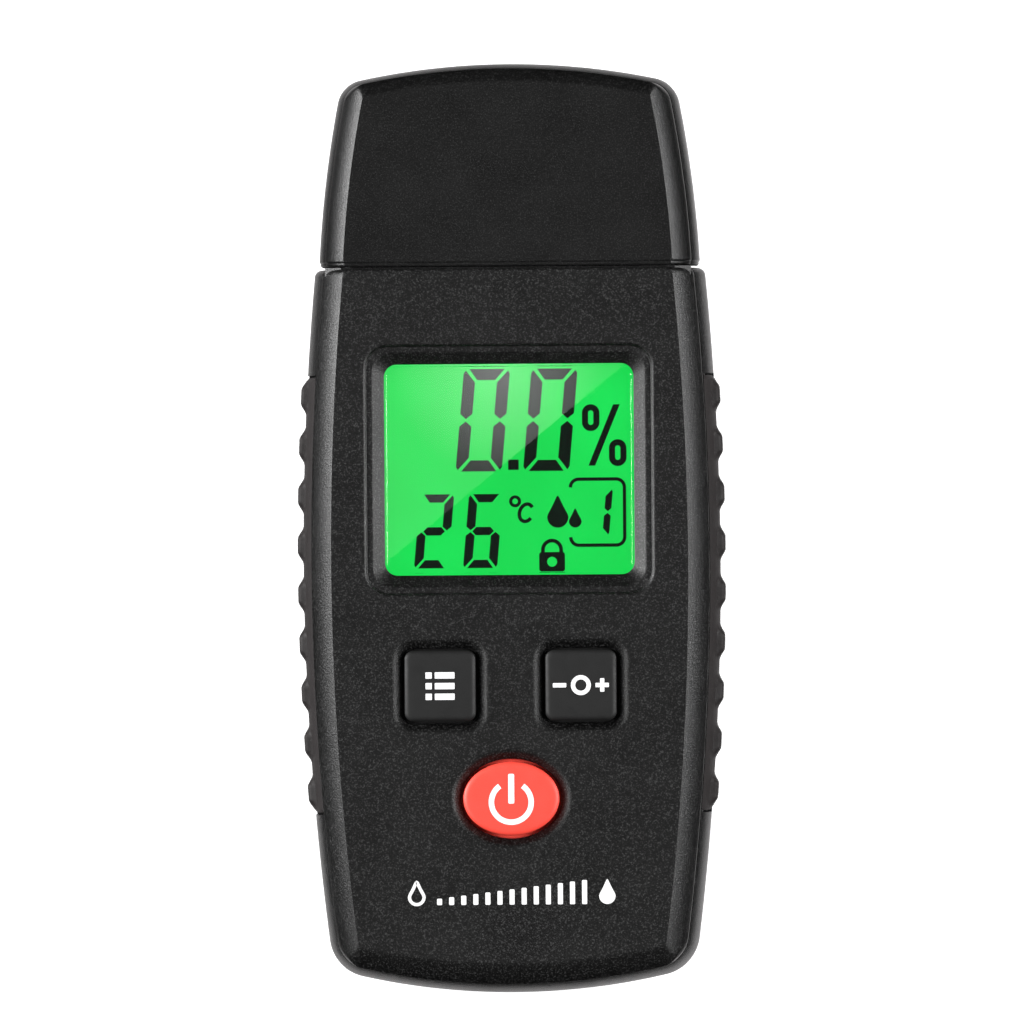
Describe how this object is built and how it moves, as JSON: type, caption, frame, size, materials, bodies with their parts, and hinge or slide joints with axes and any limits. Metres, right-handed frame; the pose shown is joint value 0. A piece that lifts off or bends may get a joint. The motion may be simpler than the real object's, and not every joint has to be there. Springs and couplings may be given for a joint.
{
  "type": "moisture meter",
  "caption": "Hand-held pin moisture meter with a pull-off pin cap, ribbed side grips, a green-lit display, press keys and a sliding battery door.",
  "frame": {"origin": "centre of the whole meter's footprint, on its flat back face", "axes": "+Z out of the front face, +Y along the meter towards the pins and cap, +X to the right as seen from the front"},
  "size_m": [0.0602, 0.131, 0.0282],
  "materials": {
    "case": "fine spark-textured black ABS",
    "cap": "finer textured black ABS, slightly smoother than the case",
    "grip": "matt brownish-black soft rubber",
    "window": "clear polished acrylic",
    "foam": "closed-cell adhesive foam",
    "display": "liquid crystal glass lit green from behind, dark segments",
    "white_plastic": "moulded white plastic",
    "diffuser": "milky light guide",
    "connector_rubber": "layered conducting rubber",
    "key_rubber": "satin dark grey silicone with white printed pictograms",
    "power_key": "satin red silicone with a white power symbol",
    "carbon": "matt conductive carbon",
    "circuit_board": "green solder mask over glass-fibre board",
    "chip": "moulded black epoxy",
    "capacitor": "shrink-sleeved aluminium can",
    "crystal_can": "drawn metal can",
    "steel": "ground stainless steel needles",
    "brass": "turned brass",
    "red_wire": "red PVC insulation",
    "black_wire": "black PVC insulation",
    "lamp": "small green light-emitting diode",
    "cell": "printed sleeve over a steel can",
    "spring_steel": "nickel-plated spring steel",
    "screw": "zinc-plated steel"
  },
  "bodies": {
    "case": {"front_shell": "case", "rear_shell": "case", "left_grip": "grip", "right_grip": "grip", "display_window": "window", "window_gasket": "foam", "display_glass": "display", "display_holder": "white_plastic", "light_guide": "diffuser", "upper_connector_strip": "connector_rubber", "lower_connector_strip": "connector_rubber", "keypad_mat": "key_rubber", "main_board": "circuit_board", "microcontroller": "chip", "buzzer": "chip", "capacitor": "capacitor", "crystal": "crystal_can", "temperature_sensor": "chip", "battery_socket": "white_plastic", "pin_carrier": "white_plastic", "left_pin": "steel", "right_pin": "steel", "left_pin_socket": "brass", "right_pin_socket": "brass", "left_probe_lead": "red_wire", "right_probe_lead": "black_wire", "left_lamp": "lamp", "right_lamp": "lamp", "red_battery_lead": "red_wire", "black_battery_lead": "black_wire", "battery_cell_1": "cell", "battery_spring_1": "spring_steel", "battery_contact_1": "spring_steel", "battery_cell_2": "cell", "battery_spring_2": "spring_steel", "battery_contact_2": "spring_steel", "battery_cell_3": "cell", "battery_spring_3": "spring_steel", "battery_contact_3": "spring_steel", "case_screw_1": "screw", "board_screw_1": "screw", "case_screw_2": "screw", "board_screw_2": "screw", "case_screw_3": "screw", "board_screw_3": "screw", "case_screw_4": "screw", "board_screw_4": "screw"},
    "cap": {"pin_cap": "cap"},
    "mode_key": {"mode_key": "key_rubber", "mode_key_pill": "carbon"},
    "set_key": {"set_key": "key_rubber", "set_key_pill": "carbon"},
    "power_key": {"power_key": "power_key", "power_key_pill": "carbon"},
    "battery_door": {"battery_door": "case"}
  },
  "joints": [
    {"name": "cap_slide", "type": "slide", "parent": "case", "child": "cap", "axis": [0, 1, 0], "range_m": [0, 0.034]},
    {"name": "mode_key_press", "type": "slide", "parent": "case", "child": "mode_key", "axis": [0, 0, -1], "range_m": [0, 0.001], "stiffness_N_per_m": 1200},
    {"name": "set_key_press", "type": "slide", "parent": "case", "child": "set_key", "axis": [0, 0, -1], "range_m": [0, 0.001], "stiffness_N_per_m": 1200},
    {"name": "power_key_press", "type": "slide", "parent": "case", "child": "power_key", "axis": [0, 0, -1], "range_m": [0, 0.001], "stiffness_N_per_m": 1200},
    {"name": "battery_door_slide", "type": "slide", "parent": "case", "child": "battery_door", "axis": [0, -1, 0], "range_m": [0, 0.055]}
  ]
}
